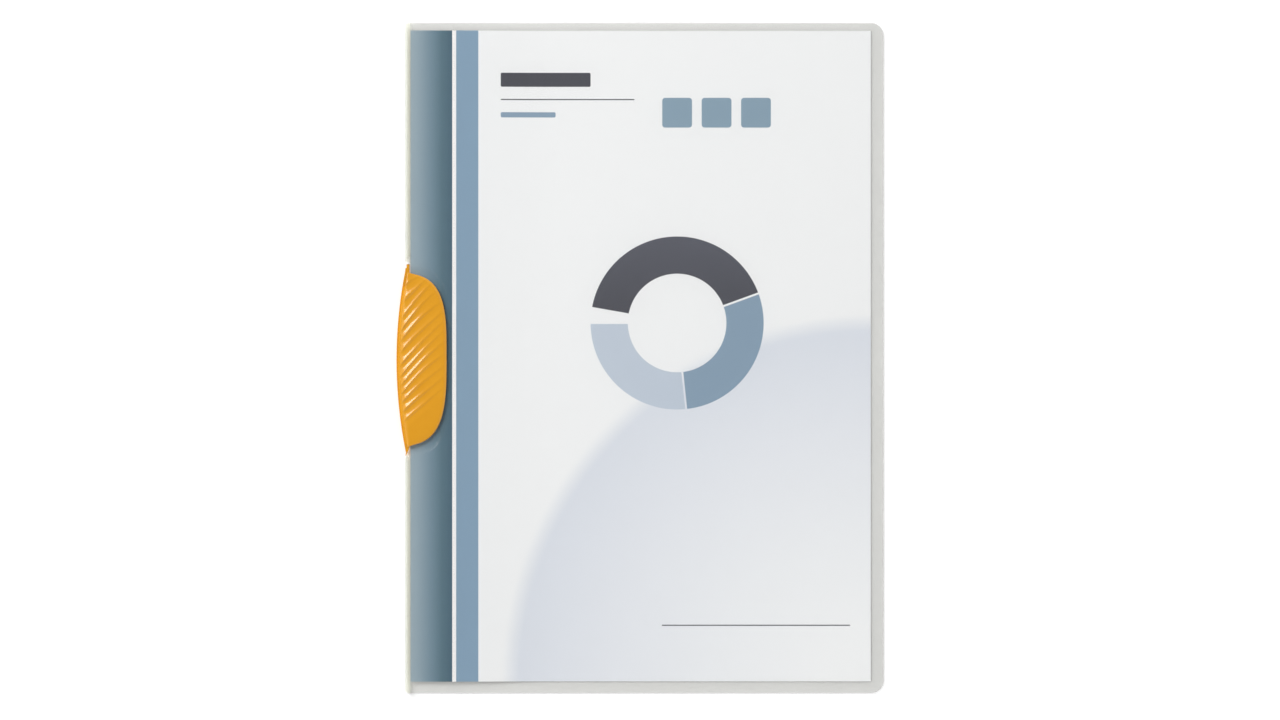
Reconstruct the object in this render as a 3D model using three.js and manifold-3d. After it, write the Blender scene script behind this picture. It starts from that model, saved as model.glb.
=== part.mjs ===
// An A4 clip folder, closed and lying on its back, with one title sheet inside.
// Millimetres, +Z up. The spine runs along Y on the -X side, and the front cover faces +Z.
// A translucent sheet is folded into the back cover, the spine and a binding strip. The clear front
// cover opens on a score line beside that strip. A sprung clip of C section grips the spine side
// from both faces and swings out on two short studs at its upper end.

import * as THREE from "three";
import { mergeVertices } from "three/addons/utils/BufferGeometryUtils.js";
import Module from "manifold-3d";

const wasm = await Module();
wasm.setup();

// Driving sizes of the folder
const COVER_WIDTH = 218.4; // spine to free edge
const COVER_HEIGHT = 306; // top edge to bottom edge
const COVER_THICKNESS = 0.4; // polypropylene sheet
const FREE_CORNER_RADIUS = 6; // the two corners away from the spine
const SPINE_CHAMFER = 1.2; // clipped ends of the spine
const FOLD_RADIUS = 0.9; // outside of both spine folds
const BINDING_WIDTH = 22.3; // spine to score line
const SCORE_GAP = 0.3; // scored groove between binding strip and front cover
const FRONT_POCKET_DEPTH = 1.1; // formed seat of the jaw, below the binding strip
const POCKET_DRAFT = 0.9; // how far a pocket's wall leans out
const NOTCH_DEPTH = 2; // opening in the spine for the clip's wall
const NOTCH_CORNER = 0.8;
const NOTCH_TAPER = 5; // length over which its lower end narrows
const NOTCH_TAPER_END = 0.3; // its depth at that end

// Driving sizes of the title sheet
const INSERT_WIDTH = 210;
const INSERT_HEIGHT = 297;
const INSERT_THICKNESS = 0.25;
const INSERT_FROM_SPINE = 2.4;
const INSERT_FROM_TOP = 3.6;
const INSERT_BEND = 46; // run over which the sheet comes down onto the back cover

// Driving sizes of the clip
const CLIP_MIDDLE = -0.9; // height of the clip's middle above the cover's middle
const JAW_WIDTH = 18.9; // from the spine's outer face to the jaw's free edge
const JAW_TOP = 40; // from the clip's middle
const JAW_BOTTOM = 39.6;
const JAW_WIDEST = 2; // the jaw is widest a little above its middle
const JAW_SQUARENESS = 3.4; // 2 is an ellipse, more is squarer
const JAW_SLOPE = 0.09; // fall of its two ends from the ridge outwards, as a share of its reach
const JAW_EDGE = 1.1; // thickness along the free edge
const JAW_CROWN = 1.4; // rise from the free edge to the back of the jaw
const JAW_BEVEL = 0.4; // drop of the bevel along the free edge
const JAW_BEVEL_SHARE = 0.08; // width of that bevel, as a share of the jaw
const JAW_TIP = 0.035; // share of the free edge's length that each blunt end takes
const RIDGE_BULGE = 2.1; // how far the jaw's back stands out past the spine
const RIDGE_END = 1.2; // how far its two ends lie inside the spine
const RIDGE_ROUND = 0.6; // drop of the rounding along the ridge
const RIDGE_ROUND_SHARE = 0.1; // width of that rounding, as a share of the jaw
const RIB_COUNT = 16;
const RIB_CROWDING = 1.6; // how far the ribs crowd towards the lower end, in pitches
const RIB_HEIGHT = 0.6;
const RIB_SLANT = 0.19; // how far the ribs climb, as a share of the free edge
const FOOT_SLANT = 0.24; // how much further they climb near the lower end
const FOOT_FALL = 3; // how soon that ends upwards
const FOOT_START = 0.06; // share of the ridge over which it begins
const RIB_BOW = 1.2; // how much steeper they leave the ridge
const RIB_DRIFT = 0.12; // how unevenly they are spaced, as a share of their pitch
const RIB_LEAN = 0.45; // 0 is an even wave, more leans the crests over
const RIB_SHARPNESS = 2; // 1 is an even wave, more makes narrow crests over wide troughs
const RIB_AT_RIDGE = 0.3; // share of their height that the ribs have right on the ridge
const RIB_FADE = 0.7; // 1 fades them evenly towards the free edge, less keeps them longer
const RIB_RISE = [0.08, 0.18]; // where they grow, as shares of the jaw from its lower end
const RIB_FALL = [0.02, 0.1]; // the same from its upper end
const DRIFT_WAVE = [3.1, -0.5]; // slow wave of the drift, along and across the jaw
const STRENGTH_WAVE = [4.3, 0.8]; // slow wave in the ribs' height, along and across the jaw
const STRENGTH_START = 0.3; // where that wave starts, in turns
const STRENGTH_SWING = 0.15; // how far it goes up and down
const CROWN_END_LOSS = 0.5; // share of the crown lost at the jaw's two ends
const CROWN_END_POWER = 6; // how late along the jaw it is lost
const WALL_THICKNESS = 1.1;
const WALL_INSET = 0.15; // lip of the jaw over its wall
const WALL_FOOT = 0.4; // rim of the plate outside the wall's foot
const PLATE_THICKNESS = 1.1;
const PLATE_WIDTH = 17.6;
const PLATE_REACH = 43.7; // from the clip's middle to each end
const PLATE_BULGE = 4.1; // rim outside the spine, seen from the front
const PLATE_END = 0.5; // how far its two ends lie inside the spine
const PLATE_POINTEDNESS = 2.1;
const PLATE_BEVEL = 0.4;
const TAB_WIDTH = 1.7; // squared end above the pivot
const TAB_HEIGHT = 3.4;
const PIVOT_FROM_SPINE = 5;
const PIVOT_UP = 36.8; // from the clip's middle
const STUD_RADIUS = 1.2;

// Clearances
const RUN_GAP = 0.3; // between faces that slide past each other
const REST_GAP = 0.1; // under a sheet that only lies there
const TABLE_GAP = 0.2; // the clip's plate stays off the table
const JAW_POCKET_MARGIN = 1.6; // beyond the jaw's free edge
const JAW_POCKET_TOP = 2.2;
const JAW_POCKET_BOTTOM = 2.8;
const PLATE_POCKET_MARGIN = 1.6;
const PLATE_POCKET_END = 0.8;
const POCKET_SQUARENESS = 3.2;

// Mesh fineness
const EDGE_STEPS = 40;
const ARC_STEPS = 24;
const JAW_ROWS = 136;
const JAW_COLUMNS = 12;
const BEND_STEPS = 14;
const FULL_TURN = 2 * Math.PI;
const MERGE_WITHIN = 1e-5;
const OVERCUT = 2; // how far a cutting tool stands out of what it cuts
const SOLID_DEPTH = 0.5; // how far joined shapes reach into each other

// Levels, from the table up
const plateBottom = TABLE_GAP;
const plateTop = plateBottom + PLATE_THICKNESS;
const backPocketUnder = plateTop + RUN_GAP;
const backPocketTop = backPocketUnder + COVER_THICKNESS;
const insertHigh = backPocketTop + REST_GAP;
const insertLow = COVER_THICKNESS + REST_GAP;
const frontPocketUnder = insertHigh + INSERT_THICKNESS + RUN_GAP;
const frontPocketTop = frontPocketUnder + COVER_THICKNESS;
const jawUnder = frontPocketTop + RUN_GAP;
const stripTop = frontPocketTop + FRONT_POCKET_DEPTH;
const stripUnder = stripTop - COVER_THICKNESS;

const insertRight = INSERT_FROM_SPINE + INSERT_WIDTH;
const halfHeight = COVER_HEIGHT / 2;
const clipTopEnd = CLIP_MIDDLE + PLATE_REACH;
const clipBottomEnd = CLIP_MIDDLE - PLATE_REACH;
const pivot = new THREE.Vector2(PIVOT_FROM_SPINE, CLIP_MIDDLE + PIVOT_UP);

// The plate's tab swings round the pivot under the back cover, so the pocket and the notch clear its corner
const tabLeft = PLATE_END;
const tabSwing = Math.hypot(pivot.x - tabLeft, clipTopEnd - pivot.y) + RUN_GAP;
const notchTop = pivot.y + Math.sqrt(tabSwing ** 2 - (pivot.x - NOTCH_DEPTH) ** 2);
const notchBottom = clipBottomEnd - PLATE_POCKET_END;
const wallReach = NOTCH_DEPTH - RUN_GAP; // how far inside the spine the wall may stand

function toSolid(geometry) {
  const bare = geometry.index ? geometry.clone() : geometry;
  bare.deleteAttribute("normal");
  bare.deleteAttribute("uv");
  const merged = mergeVertices(bare, MERGE_WITHIN);
  const mesh = new wasm.Mesh({
    numProp: 3,
    vertProperties: Float32Array.from(merged.attributes.position.array),
    triVerts: Uint32Array.from(merged.index.array),
  });
  return new wasm.Manifold(mesh);
}

function toGeometry(solid) {
  const mesh = solid.getMesh();
  const geometry = new THREE.BufferGeometry();
  geometry.setAttribute("position", new THREE.BufferAttribute(mesh.vertProperties, mesh.numProp));
  geometry.setIndex(new THREE.BufferAttribute(mesh.triVerts, 1));
  return geometry;
}

// A closed outline in plan, raised from one level to another
function prism(outline, low, high) {
  const shape = Array.isArray(outline) ? new THREE.Shape(outline) : outline;
  const geometry = new THREE.ExtrudeGeometry(shape, {
    depth: high - low,
    bevelEnabled: false,
    curveSegments: ARC_STEPS,
  });
  return toSolid(geometry.translate(0, 0, low));
}

// A section in X and Z, run along Y from bottom to top of the folder
function alongSpine(outline, length) {
  const shape = Array.isArray(outline) ? new THREE.Shape(outline) : outline;
  const geometry = new THREE.ExtrudeGeometry(shape, { depth: length, bevelEnabled: false });
  geometry.rotateX(Math.PI / 2);
  return geometry.translate(0, length / 2, 0);
}

// Two outlines with as many points, one above the other, skinned into one closed body
function loft(lower, upper, low, high) {
  const count = lower.length;
  const positions = [];
  for (const point of lower) positions.push(point.x, point.y, low);
  for (const point of upper) positions.push(point.x, point.y, high);
  const faces = [];
  for (const [a, b, c] of THREE.ShapeUtils.triangulateShape(lower, [])) {
    faces.push(c, b, a);
    faces.push(count + a, count + b, count + c);
  }
  for (let i = 0; i < count; i += 1) {
    const next = (i + 1) % count;
    faces.push(i, next, count + next);
    faces.push(i, count + next, count + i);
  }
  const geometry = new THREE.BufferGeometry();
  geometry.setAttribute("position", new THREE.Float32BufferAttribute(positions, 3));
  geometry.setIndex(faces);
  return toSolid(geometry);
}

// The free side of a leaf, from its lower end to its upper one. It is a superellipse, whose ends may
// slope down from the spine.
function leafEdge(width, top, bottom, widest, squareness, steps, slope = 0) {
  const power = 2 / squareness;
  const points = [];
  for (let i = 0; i <= steps; i += 1) {
    const turn = -Math.PI / 2 + (Math.PI * i) / steps;
    const out = Math.pow(Math.max(Math.cos(turn), 0), power);
    const up = Math.sign(turn) * Math.pow(Math.abs(Math.sin(turn)), power);
    const reach = up > 0 ? top - widest : bottom + widest;
    const sloped = reach * up * (1 - slope * out);
    points.push(new THREE.Vector2(width * out, CLIP_MIDDLE + widest + sloped));
  }
  return points;
}

// A shallow arc past the spine, given by its bulge, where its ends lie and its half length
function spineArc(bulge, end, half) {
  const rise = bulge + end;
  return { bulge, half, radius: (half * half + rise * rise) / (2 * rise) };
}

const ridgeArc = spineArc(RIDGE_BULGE, RIDGE_END, (JAW_TOP + JAW_BOTTOM) / 2);
const plateArc = spineArc(PLATE_BULGE, PLATE_END, PLATE_REACH);

function arcX(arc, y) {
  const away = Math.min(Math.abs(y - CLIP_MIDDLE), arc.half);
  return arc.radius - arc.bulge - Math.sqrt(arc.radius ** 2 - away ** 2);
}

// How far from the clip's middle the arc comes as far in as x
function arcReach(arc, x) {
  return Math.sqrt(arc.radius ** 2 - (arc.radius - arc.bulge - x) ** 2);
}

function arcPoints(arc, fromY, toY, shift) {
  const points = [];
  for (let i = 0; i <= ARC_STEPS; i += 1) {
    const y = fromY + ((toY - fromY) * i) / ARC_STEPS;
    points.push(new THREE.Vector2(arcX(arc, y) + shift, y));
  }
  return points;
}

// A pocket's outline in plan. It is open past the spine, where the clip's wall stands.
function pocketOutline(width, top, bottom, outset) {
  const edge = leafEdge(
    width + outset,
    top + outset,
    bottom + outset,
    JAW_WIDEST,
    POCKET_SQUARENESS,
    EDGE_STEPS,
  );
  const left = -OVERCUT;
  const start = new THREE.Vector2(left, edge[0].y);
  const finish = new THREE.Vector2(left, edge[edge.length - 1].y);
  return [start, ...edge, finish];
}

// The folder's outline in plan, from a given left edge
function coverOutline(left, chamfer) {
  const right = COVER_WIDTH;
  const r = FREE_CORNER_RADIUS;
  const shape = new THREE.Shape();
  shape.moveTo(left + chamfer, -halfHeight);
  shape.lineTo(right - r, -halfHeight);
  shape.absarc(right - r, r - halfHeight, r, -Math.PI / 2, 0);
  shape.absarc(right - r, halfHeight - r, r, 0, Math.PI / 2);
  shape.lineTo(left + chamfer, halfHeight);
  if (chamfer > 0) {
    shape.lineTo(left, halfHeight - chamfer);
    shape.lineTo(left, chamfer - halfHeight);
  }
  shape.closePath();
  return shape;
}

// Section of the folded sheet: back cover, spine and binding strip in one thickness
function foldedSection() {
  const t = COVER_THICKNESS;
  const outer = FOLD_RADIUS;
  const inner = FOLD_RADIUS - t;
  const stripEnd = BINDING_WIDTH - SCORE_GAP / 2;
  const shape = new THREE.Shape();
  shape.moveTo(COVER_WIDTH + OVERCUT, 0);
  shape.lineTo(COVER_WIDTH + OVERCUT, t);
  shape.lineTo(outer, t);
  shape.absarc(outer, outer, inner, -Math.PI / 2, Math.PI, true);
  shape.absarc(outer, stripTop - outer, inner, Math.PI, Math.PI / 2, true);
  shape.lineTo(stripEnd, stripUnder);
  shape.lineTo(stripEnd, stripTop);
  shape.lineTo(outer, stripTop);
  shape.absarc(outer, stripTop - outer, outer, Math.PI / 2, Math.PI);
  shape.absarc(outer, outer, outer, Math.PI, Math.PI * 1.5);
  shape.closePath();
  return shape;
}

// Presses a leaf-shaped pocket into a sheet. base is the sheet's outer face and floor the pocket's,
// both on the clip's side, and way is +1 for a pocket pressed upwards.
function formPocket(sheet, size, base, floor, way) {
  const [width, top, bottom] = size;
  const t = COVER_THICKNESS;
  const wide = pocketOutline(width, top, bottom, POCKET_DRAFT);
  const narrow = pocketOutline(width, top, bottom, 0);
  const wideSkin = pocketOutline(width, top, bottom, POCKET_DRAFT + t);
  const narrowSkin = pocketOutline(width, top, bottom, t);
  const inside = prism([
    new THREE.Vector2(0, -halfHeight),
    new THREE.Vector2(COVER_WIDTH, -halfHeight),
    new THREE.Vector2(COVER_WIDTH, halfHeight),
    new THREE.Vector2(0, halfHeight),
  ], -OVERCUT, stripTop + OVERCUT);
  const mouth = base - way * OVERCUT;
  let skin;
  let space;
  if (way > 0) {
    skin = loft(wideSkin, narrowSkin, base, floor + t);
    space = loft(wide, narrow, base, floor).add(prism(wide, mouth, base));
  } else {
    skin = loft(narrowSkin, wideSkin, floor - t, base);
    space = loft(narrow, wide, floor, base).add(prism(wide, base, mouth));
  }
  return sheet.add(skin.intersect(inside)).subtract(space);
}

function cylinderAt(point, radius, low, high) {
  const shape = new THREE.Shape().absarc(point.x, point.y, radius, 0, FULL_TURN);
  return prism(shape, low, high);
}

// Opening in the spine, with a rounded upper corner and a tapered lower end
function notch() {
  const r = NOTCH_CORNER;
  const shape = new THREE.Shape();
  shape.moveTo(-OVERCUT, notchBottom);
  shape.lineTo(NOTCH_TAPER_END, notchBottom);
  shape.lineTo(NOTCH_DEPTH, notchBottom + NOTCH_TAPER);
  shape.absarc(NOTCH_DEPTH - r, notchTop - r, r, 0, Math.PI / 2);
  shape.lineTo(-OVERCUT, notchTop);
  shape.closePath();
  return prism(shape, -OVERCUT, stripTop + OVERCUT);
}

function foldedSheet() {
  const jawPocket = [
    JAW_WIDTH + JAW_POCKET_MARGIN,
    JAW_TOP + JAW_POCKET_TOP,
    JAW_BOTTOM + JAW_POCKET_BOTTOM,
  ];
  const platePocket = [
    PLATE_WIDTH + PLATE_POCKET_MARGIN,
    pivot.y + tabSwing + PLATE_POCKET_END - CLIP_MIDDLE,
    PLATE_REACH + PLATE_POCKET_END,
  ];
  const hole = cylinderAt(pivot, STUD_RADIUS + RUN_GAP, -OVERCUT, stripTop + OVERCUT);
  const outline = prism(coverOutline(0, SPINE_CHAMFER), -OVERCUT, stripTop + OVERCUT);
  let sheet = toSolid(alongSpine(foldedSection(), COVER_HEIGHT)).intersect(outline);
  sheet = formPocket(sheet, platePocket, 0, backPocketUnder, 1);
  sheet = formPocket(sheet, jawPocket, stripTop, frontPocketTop, -1);
  return toGeometry(sheet.subtract(notch()).subtract(hole));
}

// The front cover is flat, with its origin on the score line and its upper face at z = 0
function frontPanel() {
  const panel = prism(coverOutline(BINDING_WIDTH + SCORE_GAP / 2, 0), -COVER_THICKNESS, 0);
  return toGeometry(panel).translate(-BINDING_WIDTH, 0, 0);
}

// How far the front cover tips down from the score line to lie over the title sheet
function frontTilt() {
  const lowest = insertLow + INSERT_THICKNESS + RUN_GAP;
  return Math.atan2(stripUnder - lowest, insertRight - BINDING_WIDTH);
}

// The title sheet is level in the clip, then comes down in a soft S onto the back cover
function titleSheet() {
  const under = [];
  under.push(new THREE.Vector2(INSERT_FROM_SPINE, insertHigh));
  for (let i = 0; i <= BEND_STEPS; i += 1) {
    const share = i / BEND_STEPS;
    const x = BINDING_WIDTH + INSERT_BEND * share;
    const z = THREE.MathUtils.lerp(insertHigh, insertLow, THREE.MathUtils.smoothstep(share, 0, 1));
    under.push(new THREE.Vector2(x, z));
  }
  under.push(new THREE.Vector2(insertRight, insertLow));
  const over = under.map((point) => new THREE.Vector2(point.x, point.y + INSERT_THICKNESS));
  return alongSpine([...under, ...over.reverse()], INSERT_HEIGHT);
}

// Height of the jaw's upper face over its flat underside. u runs from the ridge to the free edge and
// v along the jaw. The ribs are waves of uneven pitch and height, leaning over a little. They are
// highest by the ridge, and die out towards the free edge and the two ends.
function jawHeight(u, v) {
  const sinking = Math.pow(Math.abs(2 * v - 1), CROWN_END_POWER);
  const crown = JAW_CROWN * (1 - u * u) * (1 - CROWN_END_LOSS * sinking);
  const rounding = RIDGE_ROUND * Math.pow(Math.max(1 - u / RIDGE_ROUND_SHARE, 0), 2);
  const bevel = JAW_BEVEL * Math.pow(Math.max(1 - (1 - u) / JAW_BEVEL_SHARE, 0), 2);
  const slowWave = ([along, across], start) => Math.sin(FULL_TURN * (along * v + across * u + start));
  const crowding = RIB_CROWDING * Math.sin(Math.PI * v);
  const phase = FULL_TURN * (RIB_COUNT * v + crowding + RIB_DRIFT * slowWave(DRIFT_WAVE, 0));
  const rise = (1 + Math.sin(phase + RIB_LEAN * Math.sin(phase))) / 2;
  const wave = 2 * Math.pow(rise, RIB_SHARPNESS) - 1;
  const { smoothstep } = THREE.MathUtils;
  const ends = smoothstep(v, ...RIB_RISE) * smoothstep(1 - v, ...RIB_FALL);
  const fading = Math.min(RIB_AT_RIDGE + u / RIDGE_ROUND_SHARE, 1) * Math.pow(1 - u, RIB_FADE);
  const strength = 1 - STRENGTH_SWING + STRENGTH_SWING * slowWave(STRENGTH_WAVE, STRENGTH_START);
  return JAW_EDGE + crown - rounding - bevel + (RIB_HEIGHT / 2) * wave * ends * fading * strength;
}

// The jaw is a leaf between the ridge and the free edge, with one row of points along each rib's line
function jaw() {
  const outline = [JAW_WIDTH, JAW_TOP, JAW_BOTTOM, JAW_WIDEST, JAW_SQUARENESS];
  const edge = new THREE.SplineCurve(leafEdge(...outline, EDGE_STEPS, JAW_SLOPE));
  const positions = [];
  const faces = [];
  const across = JAW_COLUMNS + 1;
  for (let row = 0; row <= JAW_ROWS; row += 1) {
    const v = row / JAW_ROWS;
    const y = THREE.MathUtils.lerp(CLIP_MIDDLE - JAW_BOTTOM, CLIP_MIDDLE + JAW_TOP, v);
    const ridge = new THREE.Vector2(arcX(ridgeArc, y), y);
    const foot = FOOT_SLANT * Math.pow(1 - v, FOOT_FALL) * (1 - Math.exp(-v / FOOT_START));
    const along = v + RIB_SLANT * Math.sin(Math.PI * v) + foot;
    const free = edge.getPointAt(THREE.MathUtils.lerp(JAW_TIP, 1 - JAW_TIP, along));
    for (let column = 0; column <= JAW_COLUMNS; column += 1) {
      const u = (1 - Math.cos((Math.PI * column) / JAW_COLUMNS)) / 2;
      const middling = 4 * u * (1 - u); // 1 halfway across, 0 on both edges
      const bow = RIB_BOW * middling * Math.sin(Math.PI * v);
      const point = ridge.clone().lerp(free, u);
      positions.push(point.x, point.y + bow, jawUnder);
      positions.push(point.x, point.y + bow, jawUnder + jawHeight(u, v));
    }
  }
  const at = (row, column, upper) => 2 * (row * across + column) + upper;
  const quad = (a, b, c, d) => faces.push(a, b, c, a, c, d);
  for (let row = 0; row < JAW_ROWS; row += 1) {
    for (let column = 0; column < JAW_COLUMNS; column += 1) {
      quad(at(row, column, 1), at(row, column + 1, 1), at(row + 1, column + 1, 1), at(row + 1, column, 1));
      quad(at(row, column, 0), at(row + 1, column, 0), at(row + 1, column + 1, 0), at(row, column + 1, 0));
    }
    quad(at(row, 0, 0), at(row, 0, 1), at(row + 1, 0, 1), at(row + 1, 0, 0));
    const last = JAW_COLUMNS;
    quad(at(row, last, 1), at(row, last, 0), at(row + 1, last, 0), at(row + 1, last, 1));
  }
  for (let column = 0; column < JAW_COLUMNS; column += 1) {
    quad(at(0, column, 0), at(0, column + 1, 0), at(0, column + 1, 1), at(0, column, 1));
    const top = JAW_ROWS;
    quad(at(top, column, 1), at(top, column + 1, 1), at(top, column + 1, 0), at(top, column, 0));
  }
  const geometry = new THREE.BufferGeometry();
  geometry.setAttribute("position", new THREE.Float32BufferAttribute(positions, 3));
  geometry.setIndex(faces);
  return toSolid(geometry);
}

// The wall leans in from the plate's rim to the ridge of the jaw, outside the spine. Below it ends
// where it would reach past the notch. Above it stops short of the pivot by as much as it needs to
// stay inside the notch when the clip is swung square to the spine.
function wall() {
  const reach = arcReach(ridgeArc, wallReach - WALL_INSET - WALL_THICKNESS);
  const low = CLIP_MIDDLE - reach;
  const high = Math.min(pivot.y - (pivot.x - wallReach), CLIP_MIDDLE + reach);
  const band = (arc, inset) => [
    ...arcPoints(arc, low, high, inset + WALL_THICKNESS),
    ...arcPoints(arc, high, low, inset),
  ];
  const foot = band(plateArc, WALL_FOOT);
  const head = band(ridgeArc, WALL_INSET);
  return loft(foot, head, plateTop - SOLID_DEPTH, jawUnder + SOLID_DEPTH);
}

// The back plate is a longer lens with a bevelled rim, pointed below and squared off above
function plate() {
  const lens = (inset) => {
    const top = PLATE_REACH - TAB_HEIGHT / 2 - inset;
    const bottom = PLATE_REACH - inset;
    const edge = leafEdge(PLATE_WIDTH - inset, top, bottom, JAW_WIDEST, PLATE_POINTEDNESS, EDGE_STEPS);
    const outer = arcPoints(plateArc, CLIP_MIDDLE + top, CLIP_MIDDLE - bottom, inset);
    return [...edge, ...outer.slice(1, -1)];
  };
  const tab = [
    new THREE.Vector2(tabLeft, clipTopEnd - TAB_HEIGHT),
    new THREE.Vector2(tabLeft + TAB_WIDTH, clipTopEnd - TAB_HEIGHT),
    new THREE.Vector2(tabLeft + TAB_WIDTH, clipTopEnd),
    new THREE.Vector2(tabLeft, clipTopEnd),
  ];
  const bevelTop = plateBottom + PLATE_BEVEL;
  return loft(lens(PLATE_BEVEL), lens(0), plateBottom, bevelTop)
    .add(prism(lens(0), bevelTop, plateTop))
    .add(prism(tab, bevelTop, plateTop));
}

function clip() {
  const upperStud = cylinderAt(pivot, STUD_RADIUS, frontPocketUnder, jawUnder + SOLID_DEPTH);
  const lowerStud = cylinderAt(pivot, STUD_RADIUS, plateTop - SOLID_DEPTH, backPocketTop);
  return toGeometry(jaw().add(wall()).add(plate()).add(upperStud).add(lowerStud));
}

function piece(name, geometry, look) {
  const mesh = new THREE.Mesh(geometry, new THREE.MeshStandardMaterial(look));
  mesh.name = name;
  return mesh;
}

const frosted = { color: 0xd9dad6, roughness: 0.45, metalness: 0, transparent: true, opacity: 0.8 };
const clear = { color: 0xf2f4f4, roughness: 0.12, metalness: 0, transparent: true, opacity: 0.25 };
const paper = { color: 0xf0f2f1, roughness: 0.7, metalness: 0 };
const yellow = { color: 0xe19f2c, roughness: 0.28, metalness: 0 };

const folder = new THREE.Group();
folder.add(piece("back_cover_and_spine", foldedSheet(), frosted));

const title = piece("title_sheet", titleSheet(), paper);
title.position.y = halfHeight - INSERT_FROM_TOP - INSERT_HEIGHT / 2;
folder.add(title);

const front = piece("front_cover", frontPanel(), clear);
front.position.set(BINDING_WIDTH, 0, stripTop);
front.rotation.y = frontTilt();
folder.add(front);

folder.add(piece("clip", clip(), yellow));

// The origin is under the middle of the whole folder, on the table
folder.position.x = (PLATE_BULGE - COVER_WIDTH) / 2;

export default folder;
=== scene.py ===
# %% [markdown]
# # A clip folder, seen from above
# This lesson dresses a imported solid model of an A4 clip folder. The folder is two plastic sheets
# round one printed page, and a sprung, ribbed clip that grips them all at the spine. Everything is
# in metres, in the frame of the solid model: +X runs from the spine to the free edge, +Y to the
# top of the page and +Z out of the front cover. The solid model is loaded first and never moved.

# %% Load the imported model
import math

import bmesh
import bpy
import numpy as np
from mathutils import Matrix, Vector
from mathutils.geometry import delaunay_2d_cdt


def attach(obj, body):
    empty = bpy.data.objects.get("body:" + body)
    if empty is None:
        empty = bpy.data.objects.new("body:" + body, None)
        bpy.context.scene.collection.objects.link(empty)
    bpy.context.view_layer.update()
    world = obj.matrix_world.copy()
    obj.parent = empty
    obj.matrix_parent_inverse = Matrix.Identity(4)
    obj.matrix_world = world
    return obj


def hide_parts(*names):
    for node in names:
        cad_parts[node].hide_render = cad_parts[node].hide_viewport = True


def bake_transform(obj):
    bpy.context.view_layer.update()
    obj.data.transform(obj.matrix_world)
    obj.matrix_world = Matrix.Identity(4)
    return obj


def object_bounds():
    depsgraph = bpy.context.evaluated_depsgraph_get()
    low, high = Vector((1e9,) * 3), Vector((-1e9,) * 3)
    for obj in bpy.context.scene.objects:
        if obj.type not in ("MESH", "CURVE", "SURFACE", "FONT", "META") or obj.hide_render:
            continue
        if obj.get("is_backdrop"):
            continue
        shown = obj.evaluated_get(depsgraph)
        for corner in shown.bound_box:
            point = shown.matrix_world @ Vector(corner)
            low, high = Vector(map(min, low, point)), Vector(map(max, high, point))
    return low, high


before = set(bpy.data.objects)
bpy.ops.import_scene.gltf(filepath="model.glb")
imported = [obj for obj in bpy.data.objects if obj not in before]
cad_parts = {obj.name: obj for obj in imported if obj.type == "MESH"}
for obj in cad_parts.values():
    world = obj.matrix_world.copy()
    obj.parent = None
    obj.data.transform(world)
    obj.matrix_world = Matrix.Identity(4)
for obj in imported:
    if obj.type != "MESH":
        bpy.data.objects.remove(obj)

cad_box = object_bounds()
print("nodes:", ", ".join(sorted(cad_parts)))

# %% [markdown]
# ## The camera
# The folder was photographed from straight above, with a lens long enough that nothing looks
# tilted. The A4 page inside is 210 mm wide, which sets the scale: the picture takes in 583 mm by
# 328 mm. A 100 mm lens on a 36 mm sensor sees that width from 1.62 m away. No shift is needed,
# because the camera simply hangs over the middle of what the picture shows.

# %% Hang the camera over the folder
MM = 0.001
LENS = 100
SENSOR = 36
VIEW_WIDTH = 583.2 * MM
VIEW_MIDDLE = Vector((-0.1, -0.9, 4)) * MM

lens = bpy.data.cameras.new("overhead_lens")
lens.lens = LENS
lens.sensor_width = SENSOR
camera = bpy.data.objects.new("overhead_camera", lens)
camera.location = VIEW_MIDDLE + Vector((0, 0, VIEW_WIDTH * LENS / SENSOR))
bpy.context.scene.collection.objects.link(camera)
bpy.context.scene.camera = camera
print(f"camera {camera.location.z:.3f} m above the table")

# %% [markdown]
# ## Two helpers for materials
# Every finish here is made of nodes. One function adds a node, sets its own properties and fills
# its sockets, either with a value or with a link from another node. The other turns a colour as it
# is written for a screen, such as #e19f2c, into the linear numbers that a renderer works with.

# %% Add a node, read a colour, start a material
def add_node(tree, kind, sockets=None, **settings):
    node = tree.nodes.new("ShaderNode" + kind)
    for name, value in settings.items():
        setattr(node, name, value)
    for name, value in (sockets or {}).items():
        if isinstance(value, bpy.types.NodeSocket):
            tree.links.new(value, node.inputs[name])
        else:
            node.inputs[name].default_value = value
    return node


def linear(code):
    parts = [int(code[i:i + 2], 16) / 255 for i in (1, 3, 5)]
    return [p / 12.92 if p <= 0.04045 else ((p + 0.055) / 1.055) ** 2.4 for p in parts] + [1]


def start_material(name):
    material = bpy.data.materials.new(name)
    material.use_nodes = True
    material.node_tree.nodes.clear()
    return material, material.node_tree


def finish_material(material, shader):
    add_node(material.node_tree, "OutputMaterial", {"Surface": shader})
    print("material", material.name, "with", len(material.node_tree.nodes), "nodes")
    return material


# %% [markdown]
# ## The table and the light
# The background is white paper under soft studio light. The floor is a pale matt plane. What the
# camera sees of it is lifted to white by a little glow on camera, glossy and transmission rays
# only, so that the glow lights nothing and the folder's own shadow stays on the floor. The light
# comes mostly from all round, with one large soft lamp at the upper left. That lamp draws the
# bright streaks along the ribs of the clip. Straight above, where the camera hangs, the studio is
# darker, so that the film mirrors no veil over the print. Together they light a level surface so
# that a colour renders about as it is written.

# %% Lay the floor
FLOOR_SIZE = 8
FLOOR_DROP = 0.1 * MM
FLOOR_GLOW = 0.2
PAPER_GREY = "#eeeeee"

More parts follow.
